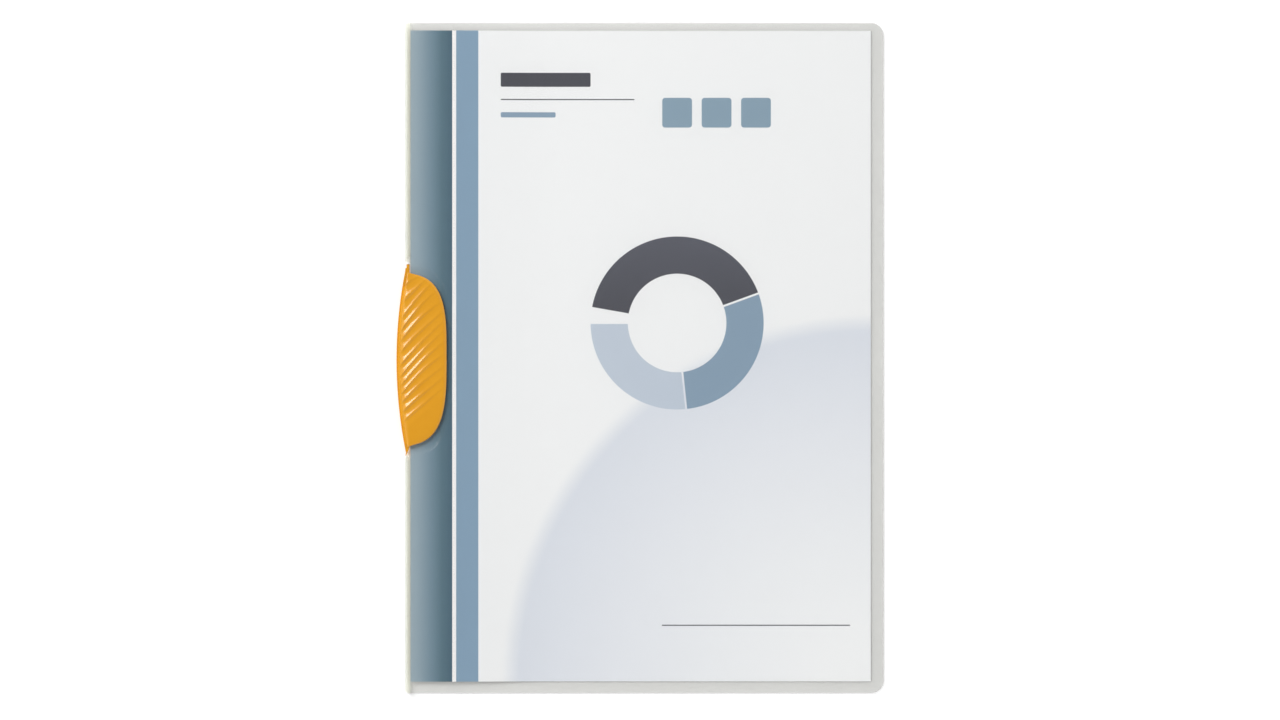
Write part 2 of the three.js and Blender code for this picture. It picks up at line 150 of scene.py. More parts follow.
bpy.ops.mesh.primitive_plane_add(size=FLOOR_SIZE, location=(0, 0, -FLOOR_DROP))
floor = bpy.context.object
floor.name = "white_table"
material, tree = start_material("matt_white_paper")
path = add_node(tree, "LightPath")
seen = add_node(tree, "Math", {0: path.outputs["Is Camera Ray"],
                               1: path.outputs["Is Glossy Ray"]}, operation="MAXIMUM")
seen = add_node(tree, "Math", {0: seen.outputs[0], 1: path.outputs["Is Transmission Ray"]},
                operation="MAXIMUM")
glow = add_node(tree, "Math", {0: seen.outputs[0], 1: FLOOR_GLOW}, operation="MULTIPLY")
matt = add_node(tree, "BsdfDiffuse", {"Color": linear(PAPER_GREY)})
light = add_node(tree, "Emission", {"Strength": glow.outputs[0]})
both = add_node(tree, "AddShader", {0: matt.outputs[0], 1: light.outputs[0]})
floor.data.materials.append(finish_material(material, both.outputs[0]))
floor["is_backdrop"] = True

# %% Light it from all round and from the upper left
SKY_OVERHEAD = 0.25
SKY_AROUND = 1.0
DARK_ABOVE, BRIGHT_BELOW = 0.95, 0.55  # heights on a sky of radius 1
LAMP_PLACE = Vector((-1.7, 1.5, 2.3))
LAMP_POWER = 62
LAMP_SIZE = 1.3

world = bpy.data.worlds.new("soft_studio")
world.use_nodes = True
tree = world.node_tree
aim = add_node(tree, "SeparateXYZ", {0: add_node(tree, "TexCoord").outputs["Generated"]})
sky = add_node(tree, "MapRange", {"Value": aim.outputs["Z"],
                                  "From Min": DARK_ABOVE, "From Max": BRIGHT_BELOW,
                                  "To Min": SKY_OVERHEAD, "To Max": SKY_AROUND},
               interpolation_type="SMOOTHSTEP")
tree.links.new(sky.outputs[0], tree.nodes["Background"].inputs["Strength"])
tree.nodes["Background"].inputs["Color"].default_value = (1, 1, 1, 1)
bpy.context.scene.world = world

softbox = bpy.data.lights.new("softbox", "AREA")
softbox.energy = LAMP_POWER
softbox.size = LAMP_SIZE
lamp = bpy.data.objects.new("upper_left_softbox", softbox)
lamp.location = LAMP_PLACE
lamp.rotation_euler = LAMP_PLACE.to_track_quat("Z", "Y").to_euler()
bpy.context.scene.collection.objects.link(lamp)
bpy.context.scene.view_settings.view_transform = "Standard"
print("lamp at", tuple(round(c, 2) for c in LAMP_PLACE))

# %% [markdown]
# ## The real sizes
# These are the sizes of the real folder in millimetres, the same as in the solid model. x is
# measured from the spine's outer face, and y from the middle of the folder's height. One function
# moves a point from there into the row's frame.

# %% Sizes of the sheets
COVER_WIDTH = 218.4
COVER_HEIGHT = 306
COVER_THICKNESS = 0.4
CORNER_RADIUS = 6
SPINE_CHAMFER = 1.2
FOLD_RADIUS = 0.9
STRIP_WIDTH = 22.3
SCORE_GAP = 0.3
STRIP_TOP = 4.15  # above the table
RUN_GAP = 0.3  # room round the moving clip
SPINE_AT = -107.15  # in the row's frame

half_height = COVER_HEIGHT / 2
half_sheet = COVER_THICKNESS / 2


def placed(points):
    """Millimetres from the spine, as metres in the row's frame."""
    return (np.asarray(points, float) + (SPINE_AT, 0, 0)) * MM


print(f"covers {COVER_WIDTH} x {COVER_HEIGHT} mm, {COVER_THICKNESS} mm thick")

# %% Sizes of the clip and of its pockets
CLIP_MIDDLE = -0.9
PIVOT = (5, 35.9)
STUD_RADIUS = 1.2
JAW_WIDTH = 18.9
JAW_TOP = 40
JAW_BOTTOM = 39.6
WIDEST = 2  # every leaf is widest this far above the clip's middle
JAW_SQUARENESS = 3.4  # 2 is an ellipse, more is squarer
JAW_SLOPE = 0.09  # how much its two ends fall away from the spine
JAW_UNDER = 3.35
PLATE_WIDTH = 17.6
PLATE_REACH = 43.7
PLATE_SQUARENESS = 2.1
PLATE_UNDER = 0.2
PLATE_TOP = 1.3
POCKET_DRAFT = 0.9
POCKET_SQUARENESS = 3.2
JAW_POCKET = (20.5, 42.2, 42.4)  # width from the spine, reach above and below the clip's middle
PLATE_POCKET = (19.2, 46.14, 44.5)
JAW_POCKET_DEPTH = 1.1
PLATE_POCKET_RISE = 1.6
NOTCH_DEPTH = 2
NOTCH_CORNER = 0.8
NOTCH_TAPER = 5  # length over which its lower end narrows
NOTCH_TAPER_END = 0.3  # its depth at that end
NOTCH_TOP = 43.89
NOTCH_BOTTOM = -45.4
print(f"clip {2 * PLATE_REACH:.1f} mm long, jaw {JAW_WIDTH} mm wide")

# %% [markdown]
# ## The leaf curve
# The jaw, the plate and both pockets are half leaves. One side lies along the spine and the other
# is a superellipse: an ellipse whose corners are fuller. One function gives its points from the
# lower end to the upper one, and may slope both ends away from the spine. The other says how far
# out a point is, with 1 on the curve itself.

# %% Draw the leaf
def leaf_edge(width, top, bottom, squareness, steps, slope=0):
    turn = np.linspace(-math.pi / 2, math.pi / 2, steps + 1)
    out = np.clip(np.cos(turn), 0, None) ** (2 / squareness)
    up = np.sign(turn) * np.abs(np.sin(turn)) ** (2 / squareness)
    reach = np.where(up > 0, top - WIDEST, bottom + WIDEST)
    return np.column_stack([width * out, CLIP_MIDDLE + WIDEST + reach * up * (1 - slope * out)])


def leaf_share(x, y, width, top, bottom, squareness):
    up = y - CLIP_MIDDLE - WIDEST
    reach = np.where(up > 0, top - WIDEST, bottom + WIDEST)
    out = np.abs(np.clip(x, 0, None) / width) ** squareness
    return (out + np.abs(up / reach) ** squareness) ** (1 / squareness)


def grown(size, by):
    return [length + by for length in size]


def smooth(share):
    share = np.clip(share, 0, 1)
    return share * share * (3 - 2 * share)


def sunk(x, y, size):
    """0 outside the pocket, 1 on its floor, and a soft S down its drafted wall."""
    outer = 1 - leaf_share(x, y, *grown(size, POCKET_DRAFT), POCKET_SQUARENESS)
    inner = leaf_share(x, y, *size, POCKET_SQUARENESS) - 1
    share = np.where(inner <= 0, 1, np.clip(outer, 0, None) / np.maximum(outer + inner, 1e-9))
    return smooth(share)


print("a leaf's tip lies", round(float(leaf_edge(*JAW_POCKET, POCKET_SQUARENESS, 8)[0, 1]), 1))

# %% [markdown]
# ## The folded cover
# The real cover is cut flat from polypropylene sheet, its two leaf pockets are pressed into it,
# and it is folded twice at the spine. It could be modelled as boxes with holes cut out of them, but
# then the pockets would have sharp walls. Here it is made as in the factory. Its flat blank is
# triangulated with the notch and the stud holes left out, and each point is then carried round the
# folds and pressed up or down. `along` is the distance over the blank from the score line.

# %% Carry the blank round the folds
STRIP_END = STRIP_WIDTH - SCORE_GAP / 2
FOLD_MIDDLE = FOLD_RADIUS - half_sheet
quarter = math.pi / 2 * FOLD_MIDDLE
spine_flat = STRIP_TOP - 2 * FOLD_RADIUS
stations = np.cumsum([0, STRIP_END - FOLD_RADIUS, quarter, spine_flat, quarter,
                      COVER_WIDTH - FOLD_RADIUS])
STRIP_FOLD, SPINE_START, SPINE_FINISH, BACK_START, BLANK_END = stations[1:]


def section(along):
    """Middle of the sheet at a distance over the blank: x, and z above the table."""
    first = np.clip((along - STRIP_FOLD) / FOLD_MIDDLE, 0, math.pi / 2)
    second = np.clip((along - SPINE_FINISH) / FOLD_MIDDLE, 0, math.pi / 2)
    x = (STRIP_END - np.minimum(along, STRIP_FOLD)) - FOLD_MIDDLE * np.sin(first)
    x = x + FOLD_MIDDLE * (1 - np.cos(second)) + np.clip(along - BACK_START, 0, None)
    z = STRIP_TOP - half_sheet - FOLD_MIDDLE * (1 - np.cos(first))
    z = z - np.clip(along - SPINE_START, 0, spine_flat) - FOLD_MIDDLE * np.sin(second)
    return x, z


def formed(along, y):
    x, z = section(along)
    lift = (z - half_sheet) / (STRIP_TOP - COVER_THICKNESS)
    z = z + PLATE_POCKET_RISE * (1 - lift) * sunk(x, y, PLATE_POCKET)
    z = z - JAW_POCKET_DEPTH * lift * sunk(x, y, JAW_POCKET)
    return np.column_stack([x, y, z])


print(f"the blank is {BLANK_END:.1f} x {COVER_HEIGHT} mm")

# %% Mark out the blank
FOLD_STEPS = 7
CORNER_STEPS = 16
NOTCH_STEPS = 6
HOLE_STEPS = 40
RING_POINTS = 110
RINGS = np.array([0, 0.07, 0.16, 0.28, 0.4, 0.5, 0.6, 0.72, 0.84, 0.93, 1])


def limit(along):
    """Half the blank's height. The spine's ends are clipped."""
    return half_height - np.clip(SPINE_CHAMFER - section(along)[0], 0, None)


def arc(x, y, radius, start, finish, steps):
    turn = np.radians(np.linspace(start, finish, steps + 1))
    return np.column_stack([x + radius * np.cos(turn), y + radius * np.sin(turn)])


folds = np.concatenate([np.linspace(STRIP_FOLD, SPINE_START, FOLD_STEPS),
                        np.linspace(SPINE_FINISH, BACK_START, FOLD_STEPS)])
clip_steps = np.sort(np.append(folds, [STRIP_END - SPINE_CHAMFER,
                                       BACK_START + SPINE_CHAMFER - FOLD_RADIUS]))
inset = BLANK_END - CORNER_RADIUS
low = half_height - CORNER_RADIUS
upper_edge = np.column_stack([clip_steps, limit(clip_steps)])
outline = np.vstack([
    [[0, -half_height]], upper_edge * (1, -1),
    arc(inset, -low, CORNER_RADIUS, -90, 0, CORNER_STEPS),
    arc(inset, low, CORNER_RADIUS, 0, 90, CORNER_STEPS),
    upper_edge[::-1], [[0, half_height]]])

near = STRIP_END - NOTCH_DEPTH + NOTCH_CORNER
far = BACK_START - FOLD_RADIUS + NOTCH_DEPTH - NOTCH_CORNER
top = NOTCH_TOP - NOTCH_CORNER
first_fold = folds[FOLD_STEPS - 1::-1]
tip = np.interp(NOTCH_TAPER_END, section(first_fold)[0], first_fold)
fold_sum = STRIP_FOLD + BACK_START
notch = np.vstack([[[near - NOTCH_CORNER, NOTCH_BOTTOM + NOTCH_TAPER], [tip, NOTCH_BOTTOM],
                    [fold_sum - tip, NOTCH_BOTTOM],
                    [far + NOTCH_CORNER, NOTCH_BOTTOM + NOTCH_TAPER]],
                   arc(far, top, NOTCH_CORNER, 0, 90, NOTCH_STEPS),
                   arc(near, top, NOTCH_CORNER, 90, 180, NOTCH_STEPS)])
holes = [arc(place, PIVOT[1], STUD_RADIUS + RUN_GAP, 0, 360, HOLE_STEPS)[:-1]
         for place in (STRIP_END - PIVOT[0], BACK_START - FOLD_RADIUS + PIVOT[0])]
print("outline", len(outline), "points, notch", len(notch), "points")

# %% Triangulate it
MERGE_WITHIN = 1e-6


def inside(loop, points):
    """True for each point that lies inside a closed loop of corners."""
    found = np.zeros(len(points), bool)
    for (ax, ay), (bx, by) in zip(loop, np.roll(loop, -1, axis=0)):
        spans = (ay > points[:, 1]) != (by > points[:, 1])
        if spans.any():
            cross = ax + (points[:, 1] - ay) * (bx - ax) / (by - ay if by != ay else 1)
            found ^= spans & (points[:, 0] < cross)
    return found


def blank_lines():
    """Lines that the triangles have to follow: edges, folds and the pockets' walls."""
    loops = [outline, notch, *holes]
    lines = [np.array([[s, -limit(s)], [s, limit(s)]]) for s in folds]
    for share in RINGS:
        ring = leaf_edge(*grown(JAW_POCKET, POCKET_DRAFT * (1 - share)), POCKET_SQUARENESS,
                         RING_POINTS)
        ring = ring[ring[:, 0] > NOTCH_DEPTH / 2]
        lines.append(ring * (-1, 1) + (STRIP_END, 0))
        ring = leaf_edge(*grown(PLATE_POCKET, POCKET_DRAFT * (1 - share)), POCKET_SQUARENESS,
                         RING_POINTS)
        ring = ring[ring[:, 0] > FOLD_RADIUS] + (BACK_START - FOLD_RADIUS, 0)
        lines.append(np.vstack([[[STRIP_FOLD, ring[0, 1]]], ring, [[STRIP_FOLD, ring[-1, 1]]]]))
    return loops, lines


def triangulate():
    points, edges = [], []
    loops, lines = blank_lines()
    for path, closed in [(p, True) for p in loops] + [(p, False) for p in lines]:
        first = len(points)
        points.extend(Vector(p) for p in path)
        edges.extend((i, i + 1) for i in range(first, len(points) - 1))
        if closed:
            edges.append((len(points) - 1, first))
    found = delaunay_2d_cdt(points, edges, [], 0, MERGE_WITHIN)
    spots = np.array([tuple(v) for v in found[0]])
    faces = np.array([tuple(f) for f in found[2]])
    middles = spots[faces].mean(axis=1)
    kept = inside(outline, middles) & ~inside(notch, middles)
    for hole in holes:
        kept &= ~inside(hole, middles)
    return spots, faces[kept], middles[kept]


spots, faces, middles = triangulate()
print("blank:", len(spots), "points and", len(faces), "triangles")

# %% [markdown]
# A sheet needs two faces and a rim. Every point of the blank is moved out by half the thickness
# to either side, square to the sheet there, and the open edges are closed by a band.

# %% Give a sheet its thickness
SLOPE_STEP = 0.01  # over which the sheet's slope is measured


def sheet_faces(triangles, count):
    """Both faces of a sheet and its rim, for points given as one side and then the other."""
    sides = np.vstack([triangles[:, [0, 1]], triangles[:, [1, 2]], triangles[:, [2, 0]]])
    keys = [tuple(sorted(side)) for side in sides.tolist()]
    uses = {}
    for key in keys:
        uses[key] = uses.get(key, 0) + 1
    made = [tuple(f) for f in triangles.tolist()]
    made += [(a + count, c + count, b + count) for a, b, c in triangles.tolist()]
    for (a, b), key in zip(sides.tolist(), keys):
        if uses[key] == 1:
            made.append((b, a, a + count, b + count))
    return made


def make_object(name, points, faces, crease=40):
    mesh = bpy.data.meshes.new(name)
    mesh.from_pydata([tuple(p) for p in placed(points)], [], faces)
    shape = bmesh.new()
    shape.from_mesh(mesh)
    loose = [v for v in shape.verts if not v.link_faces]
    bmesh.ops.delete(shape, geom=loose, context="VERTS")
    bmesh.ops.recalc_face_normals(shape, faces=shape.faces)
    shape.to_mesh(mesh)
    shape.free()
    soften(mesh, crease)
    made = bpy.data.objects.new(name, mesh)
    bpy.context.scene.collection.objects.link(made)
    print(name, len(mesh.polygons), "faces")
    return made


def soften(mesh, crease):
    mesh.polygons.foreach_set("use_smooth", [True] * len(mesh.polygons))
    mesh.set_sharp_from_angle(angle=math.radians(crease))


def formed_sheet(name, triangles):
    along, y = spots[:, 0], spots[:, 1]
    middle = formed(along, y)
    run = formed(along + SLOPE_STEP, y) - formed(along - SLOPE_STEP, y)
    rise = formed(along, y + SLOPE_STEP) - formed(along, y - SLOPE_STEP)
    out = np.cross(rise, run)
    out /= np.linalg.norm(out, axis=1, keepdims=True)
    points = np.vstack([middle + half_sheet * out, middle - half_sheet * out])
    return make_object(name, points, sheet_faces(triangles, len(spots)))


strip_part = middles[:, 0] < STRIP_FOLD
binding_strip = formed_sheet("binding_strip", faces[strip_part])
back_cover = formed_sheet("folded_back_cover", faces[~strip_part])

# %% [markdown]
# ## The clip
# The clip is one glossy moulding, C-shaped in section. Its ribbed jaw presses on the binding strip
# from the front, a wall passes outside the spine, and a longer plate lies in the back cover's
# pocket. A sculpted mesh would give such ribs, and so would a displacement texture, but a formula
# keeps them where the solid model has them. The jaw is a grid: u runs from the ridge along the
# spine to the free edge, and v from the lower end to the upper one. Each row of the grid climbs
# towards the free edge, so the waves of the ribs run along the rows.

# %% Height of the jaw's face
JAW_EDGE = 1.1
JAW_CROWN = 1.4
JAW_BEVEL = 0.4
BEVEL_SHARE = 0.08
CROWN_END_LOSS = 0.5
CROWN_END_POWER = 6
RIDGE_ROUND = 0.6
ROUND_SHARE = 0.1
RIB_COUNT = 16
RIB_CROWDING = 1.6  # how far they crowd towards the lower end, in pitches
RIB_HEIGHT = 0.6
RIB_DRIFT = 0.12  # how unevenly they are spaced, in pitches
RIB_LEAN = 0.45  # 0 is an even wave, more leans the crests over
RIB_SHARPNESS = 2  # 1 is an even wave, more makes narrow crests over wide troughs
RIB_AT_RIDGE = 0.3  # share of their height right on the ridge
RIB_FADE = 0.7
RIB_RISE = (0.08, 0.18)  # where they grow, as shares of the jaw from its lower end
RIB_FALL = (0.02, 0.1)  # the same from its upper end
DRIFT_WAVE = (3.1, -0.5, 0)  # turns along and across the jaw, and where the wave starts
STRENGTH_WAVE = (4.3, 0.8, 0.3)
STRENGTH_SWING = 0.15
TURN = 2 * math.pi


def slow_wave(u, v, wave):
    along, across, start = wave
    return np.sin(TURN * (along * v + across * u + start))


def grows(share, reach):
    return smooth((share - reach[0]) / (reach[1] - reach[0]))


def jaw_height(u, v):
    """Thickness of the jaw, from the ridge at u 0 to the free edge at u 1."""
    crown = JAW_CROWN * (1 - u * u) * (1 - CROWN_END_LOSS * np.abs(2 * v - 1) ** CROWN_END_POWER)
    rounding = RIDGE_ROUND * np.clip(1 - u / ROUND_SHARE, 0, None) ** 2
    bevel = JAW_BEVEL * np.clip(1 - (1 - u) / BEVEL_SHARE, 0, None) ** 2
    drift = RIB_CROWDING * np.sin(math.pi * v) + RIB_DRIFT * slow_wave(u, v, DRIFT_WAVE)
    phase = TURN * (RIB_COUNT * v + drift)
    rise = (1 + np.sin(phase + RIB_LEAN * np.sin(phase))) / 2
    wave = 2 * rise ** RIB_SHARPNESS - 1
    ends = grows(v, RIB_RISE) * grows(1 - v, RIB_FALL)
    fading = np.minimum(RIB_AT_RIDGE + u / ROUND_SHARE, 1) * np.clip(1 - u, 0, None) ** RIB_FADE
    strength = 1 - STRENGTH_SWING + STRENGTH_SWING * slow_wave(u, v, STRENGTH_WAVE)
    return JAW_EDGE + crown - rounding - bevel + RIB_HEIGHT / 2 * wave * ends * fading * strength


print(f"the jaw's face rises to {float(jaw_height(np.array(0.1), np.array(0.5))):.2f} mm")

# %% Arcs past the spine
RIDGE_BULGE, RIDGE_END = 2.1, 1.2
RIM_BULGE, RIM_END = 4.1, 0.5


def spine_arc(bulge, end, half):
    """An arc that stands out past the spine by its bulge and ends inside it, as a radius."""
    rise = bulge + end
    return bulge, half, (half * half + rise * rise) / (2 * rise)


RIDGE_ARC = spine_arc(RIDGE_BULGE, RIDGE_END, (JAW_TOP + JAW_BOTTOM) / 2)
PLATE_ARC = spine_arc(RIM_BULGE, RIM_END, PLATE_REACH)


def arc_x(curve, y):
    bulge, half, radius = curve
    away = np.minimum(np.abs(y - CLIP_MIDDLE), half)
    return radius - bulge - np.sqrt(radius ** 2 - away ** 2)


print(f"plate's rim stands {-float(arc_x(PLATE_ARC, CLIP_MIDDLE)):.1f} mm outside the spine")

# %% Mould the jaw
JAW_ROWS = 440
JAW_COLUMNS = 44
JAW_EDGE_STEPS = 2000
JAW_TIP = 0.035  # share of the free edge that each blunt end takes
TIP_ROUND = 0.25  # drop of the face at both ends
TIP_SHARE = 0.006
RIB_SLANT = 0.19  # how far the rows climb, as a share of the free edge
FOOT_SLANT = 0.24  # how much further they climb near the lower end
FOOT_FALL = 3
FOOT_START = 0.06
RIB_BOW = 1.2  # how much steeper they leave the ridge


def jaw_grid():
    edge = leaf_edge(JAW_WIDTH, JAW_TOP, JAW_BOTTOM, JAW_SQUARENESS, JAW_EDGE_STEPS,
                     JAW_SLOPE)
    run = np.concatenate([[0], np.cumsum(np.linalg.norm(np.diff(edge, axis=0), axis=1))])
    v = np.linspace(0, 1, JAW_ROWS + 1)[:, None]
    u = (1 - np.cos(np.linspace(0, math.pi, JAW_COLUMNS + 1)))[None, :] / 2
    y = CLIP_MIDDLE - JAW_BOTTOM + (JAW_TOP + JAW_BOTTOM) * v
    foot = FOOT_SLANT * (1 - v) ** FOOT_FALL * (1 - np.exp(-v / FOOT_START))
    climb = RIB_SLANT * np.sin(math.pi * v) + foot
    along = JAW_TIP + (1 - 2 * JAW_TIP) * (v + climb)
    free_x, free_y = (np.interp(along * run[-1], run, edge[:, k]) for k in (0, 1))
    ridge_x = arc_x(RIDGE_ARC, y)
    x = ridge_x + (free_x - ridge_x) * u
    y = y + (free_y - y) * u + 4 * RIB_BOW * u * (1 - u) * np.sin(math.pi * v)
    tips = TIP_ROUND * np.clip(1 - np.minimum(v, 1 - v) / TIP_SHARE, 0, None) ** 2
    return x, y, JAW_UNDER + jaw_height(u, v) - tips


def grid_solid(name, x, y, z_low, z_high):
    rows, columns = x.shape
    low = np.column_stack([x.ravel(), y.ravel(), z_low.ravel()])
    high = np.column_stack([x.ravel(), y.ravel(), z_high.ravel()])
    at = np.arange(rows * columns).reshape(rows, columns)
    quads = np.stack([at[:-1, :-1], at[:-1, 1:], at[1:, 1:], at[1:, :-1]], -1).reshape(-1, 4)
    count = rows * columns
    faces = [tuple(q) for q in quads.tolist()]
    faces += [tuple(i + count for i in reversed(q)) for q in quads.tolist()]
    rim = np.concatenate([at[0, :], at[1:, -1], at[-1, -2::-1], at[-2:0:-1, 0]]).tolist()
    faces += [(a, b, b + count, a + count) for a, b in zip(rim, rim[1:] + rim[:1])]
    return make_object(name, np.vstack([low, high]), faces)


x, y, z = jaw_grid()
clip = grid_solid("moulded_clip", x, y, np.full_like(z, JAW_UNDER), z)

# %% Stack outlines into a solid
def stacked(name, layers):
    """A closed solid through outlines of as many points, each with its height."""
    count = len(layers[0][0])
    points = np.vstack([np.column_stack([plan, np.full(count, z)]) for plan, z in layers])
    last = (len(layers) - 1) * count
    faces = [tuple(range(count))[::-1], tuple(range(last, last + count))]
    for start in range(0, last, count):
        ring = list(range(start, start + count))
        faces += [(a, b, b + count, a + count) for a, b in zip(ring, ring[1:] + ring[:1])]
    return make_object(name, points, faces)


PLATE_BEVEL = 0.4
PLATE_STEPS = 160
RIM_STEPS = 60
EDGE_SOFTNESS = 0.12
TAB_LEFT, TAB_WIDTH, TAB_HEIGHT = 0.5, 1.7, 3.4


def plate_plan(inset):
    top = PLATE_REACH - TAB_HEIGHT / 2 - inset
    bottom = PLATE_REACH - inset
    edge = leaf_edge(PLATE_WIDTH - inset, top, bottom, PLATE_SQUARENESS, PLATE_STEPS)
    y = np.linspace(CLIP_MIDDLE + top, CLIP_MIDDLE - bottom, RIM_STEPS)[1:-1]
    return np.vstack([edge, np.column_stack([arc_x(PLATE_ARC, y) + inset, y])])


plate = stacked("plate", [
    (plate_plan(PLATE_BEVEL), PLATE_UNDER),
    (plate_plan(EDGE_SOFTNESS / 2), PLATE_UNDER + PLATE_BEVEL - EDGE_SOFTNESS / 2),
    (plate_plan(0), PLATE_UNDER + PLATE_BEVEL + EDGE_SOFTNESS / 2),
    (plate_plan(0), PLATE_TOP - EDGE_SOFTNESS),
    (plate_plan(EDGE_SOFTNESS), PLATE_TOP)])

# %% Its tab, wall and studs
WALL_THICKNESS = 1.1
WALL_INSET = 0.15
WALL_FOOT = 0.4
WALL_RISE = 1  # how far above the jaw's lower end it starts
WALL_STEPS = 90
TAB_ROUNDING = 0.2
UPPER_STUD_END = 2.65
LOWER_STUD_END = 2.0
INTO = 0.5  # how far joined shapes reach into each other


def round_edges(piece, width, steep=50, segments=3):
    """Rounds the edges where two faces meet more steeply than an angle."""
    bevel = piece.modifiers.new("rounding", "BEVEL")
    bevel.width = width * MM
    bevel.segments = segments
    bevel.limit_method = "ANGLE"
    bevel.angle_limit = math.radians(steep)


def tab_plan(inset):
    left, right = TAB_LEFT + inset, TAB_LEFT + TAB_WIDTH - inset
    high = CLIP_MIDDLE + PLATE_REACH - inset
    return np.array([[left, high - TAB_HEIGHT], [right, high - TAB_HEIGHT], [right, high],
                     [left, high]])


def wall_plan(curve, inset):
    """Inside the notch the wall gets thinner, and it stops short of the pivot to swing clear."""
    deepest = NOTCH_DEPTH - RUN_GAP
    y = np.linspace(CLIP_MIDDLE - JAW_BOTTOM + WALL_RISE, PIVOT[1] - (PIVOT[0] - deepest),
                    WALL_STEPS)
    x = arc_x(curve, y) + inset
    return np.vstack([np.column_stack([np.minimum(x + WALL_THICKNESS, deepest), y]),
                      np.column_stack([x, y])[::-1]])


tab = stacked("tab", [
    (tab_plan(0), PLATE_UNDER + PLATE_BEVEL), (tab_plan(0), PLATE_TOP - EDGE_SOFTNESS),
    (tab_plan(EDGE_SOFTNESS), PLATE_TOP)])
wall = stacked("wall", [
    (wall_plan(PLATE_ARC, WALL_FOOT), PLATE_TOP - INTO),
    (wall_plan(RIDGE_ARC, WALL_INSET), JAW_UNDER + INTO)])
for piece in (tab, wall):
    round_edges(piece, TAB_ROUNDING)
stud_plan = arc(*PIVOT, STUD_RADIUS, 0, 360, HOLE_STEPS)[:-1]
upper_stud = stacked("upper_stud", [(stud_plan, UPPER_STUD_END), (stud_plan, JAW_UNDER + INTO)])
lower_stud = stacked("lower_stud", [(stud_plan, PLATE_TOP - INTO), (stud_plan, LOWER_STUD_END)])

# %% Join them into one moulding
CLIP_CREASE = 35


def join_solids(body, others, crease):
    for other in others:
        cut = body.modifiers.new("join_" + other.name, "BOOLEAN")
        cut.operation = "UNION"
        cut.solver = "EXACT"
        cut.object = other
    bpy.context.view_layer.update()
    whole = bpy.data.meshes.new_from_object(
        body.evaluated_get(bpy.context.evaluated_depsgraph_get()))
    body.modifiers.clear()
    body.data = whole
    for other in others:
        bpy.data.objects.remove(other)
    soften(whole, crease)
    print(body.name, len(whole.polygons), "faces as one")


join_solids(clip, [wall, plate, tab, upper_stud, lower_stud], CLIP_CREASE)

# %% [markdown]
# ## The scored hinge
# Between the binding strip and the front cover the sheet is scored to a thin web, which bends each
# time the cover is opened. It is a narrow flat strip of its own here, thinner than the sheet, that
# bridges the score line from the binding strip to the front cover.

# %% Bridge the score line
WEB_THICKNESS = 0.14
WEB_STEPS = 12
WEB_LAP = 0.02  # how far it reaches into both sheets
WEB_SHORT = 0.05  # how far it stops short of their ends
WEB_SINK = 0.01  # how far it lies below their upper faces

web_x = np.linspace(STRIP_END - WEB_LAP, STRIP_WIDTH + SCORE_GAP / 2 + WEB_LAP, WEB_STEPS + 1)
web_y = np.array([-half_height + WEB_SHORT, 0, half_height - WEB_SHORT])
x, y = np.meshgrid(web_x, web_y)
z = np.full_like(x, STRIP_TOP - WEB_SINK)
web = grid_solid("scored_hinge", x, y, z - WEB_THICKNESS, z)

# %% [markdown]
# ## Clear polypropylene film
# The binding strip and the front cover are extruded clear polypropylene. The eye sees a nearly
# colourless film with a soft, slightly uneven gloss, and a trace of milky haze. Real refraction
# would bend almost nothing in 0.4 mm, so the film is a see-through shader with a haze mixed in and
# a mirror layer over it. How much that layer mirrors comes from polypropylene's IOR, 1.49: a
# twenty-fifth head on, and all of it edge on. The rolls leave waves of some 12 mm in the surface,
# and handling leaves faint scuffs. Real ones are hair-fine and are drawn 1.2 mm wide, so that they
# show.

# %% Make the clear film
PP_IOR = 1.49
HEAD_ON = ((PP_IOR - 1) / (PP_IOR + 1)) ** 2
EDGE_ON_POWER = 5
ROLL_WAVE = 12 * MM
SCUFF = 1.2 * MM
HAZE = 0.008


def mirrored(tree, normal):
    """Share of light that a face of the plastic mirrors: least head on, all of it edge on."""
    slant = add_node(tree, "LayerWeight", {"Blend": 0.5, "Normal": normal})
    steep = add_node(tree, "Math", {0: slant.outputs["Facing"], 1: EDGE_ON_POWER},
                     operation="POWER")
    return add_node(tree, "MapRange", {"Value": steep.outputs[0], "To Min": HEAD_ON}).outputs[0]


material, tree = start_material("extruded_clear_polypropylene")
place = add_node(tree, "TexCoord")
waves = add_node(tree, "TexNoise", {"Vector": place.outputs["Object"], "Scale": 1 / ROLL_WAVE,
                                    "Detail": 1.0})
scuffs = add_node(tree, "TexNoise", {"Vector": place.outputs["Object"], "Scale": 1 / SCUFF,
                                     "Detail": 6.0, "Roughness": 0.7})
rolled = add_node(tree, "Bump", {"Height": waves.outputs["Fac"], "Distance": 0.05 * MM,
                                 "Strength": 0.5})
gloss = add_node(tree, "MapRange", {"Value": scuffs.outputs["Fac"], "To Min": 0.1,
                                    "To Max": 0.2})
clear = add_node(tree, "BsdfTransparent", {"Color": linear("#fefefe")})
milk = add_node(tree, "BsdfDiffuse", {"Color": linear("#f4f6f6")})
hazy = add_node(tree, "MixShader", {0: HAZE, 1: clear.outputs[0], 2: milk.outputs[0]})
mirror = add_node(tree, "BsdfGlossy", {"Roughness": gloss.outputs[0],
                                       "Normal": rolled.outputs[0]})
film = add_node(tree, "MixShader", {0: mirrored(tree, rolled.outputs[0]), 1: hazy.outputs[0],
                                    2: mirror.outputs[0]})
clear_film = finish_material(material, film.outputs[0])
